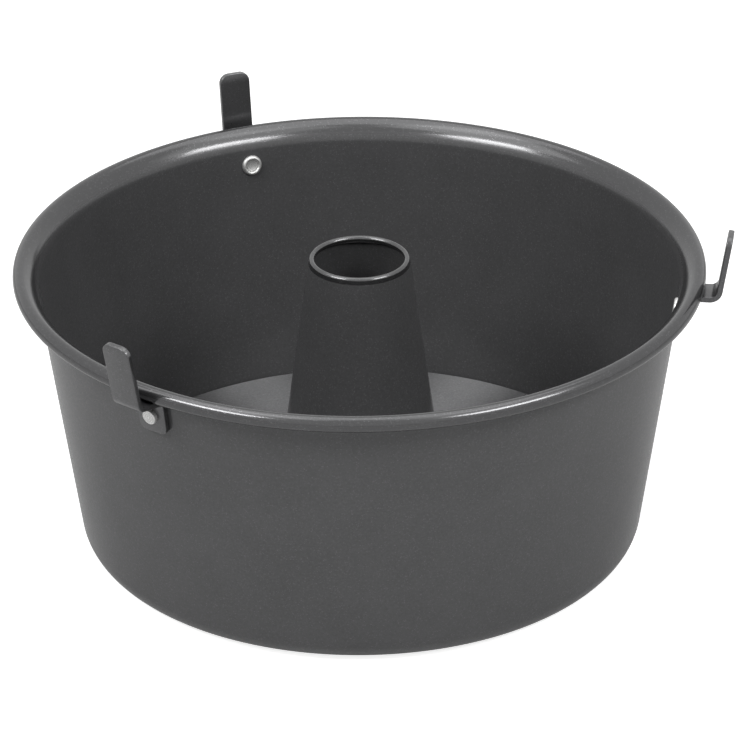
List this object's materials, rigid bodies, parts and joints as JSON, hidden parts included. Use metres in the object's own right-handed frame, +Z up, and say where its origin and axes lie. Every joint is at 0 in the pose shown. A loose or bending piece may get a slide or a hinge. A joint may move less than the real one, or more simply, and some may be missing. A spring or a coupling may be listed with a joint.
{
  "type": "angel food cake pan",
  "caption": "Round tapered cake pan with a rolled rim, riveted cooling legs and a loose base that carries a hollow conical centre tube and lifts out.",
  "frame": {"origin": "centre of the circle the pan stands on, on the axis of its round body", "axes": "+Z up along the pan's axis; +X towards the right-hand leg, -Y towards the side seen in front"},
  "size_m": [0.2635, 0.2567, 0.1326],
  "materials": {
    "coated_steel": "satin dark grey non-stick coating with fine metallic speckle",
    "rivet_metal": "bright, lightly brushed"
  },
  "bodies": {
    "pan": {"pan_shell": "coated_steel", "cooling_leg_right": "coated_steel", "cooling_leg_rear": "coated_steel", "cooling_leg_front": "coated_steel", "rivet_right": "rivet_metal", "rivet_rear": "rivet_metal", "rivet_front": "rivet_metal"},
    "core": {"base_disc": "coated_steel", "centre_tube": "coated_steel"}
  },
  "joints": [
    {"name": "core_lift", "type": "slide", "parent": "pan", "child": "core", "axis": [0, 0, 1], "range_m": [0, 0.15]}
  ]
}
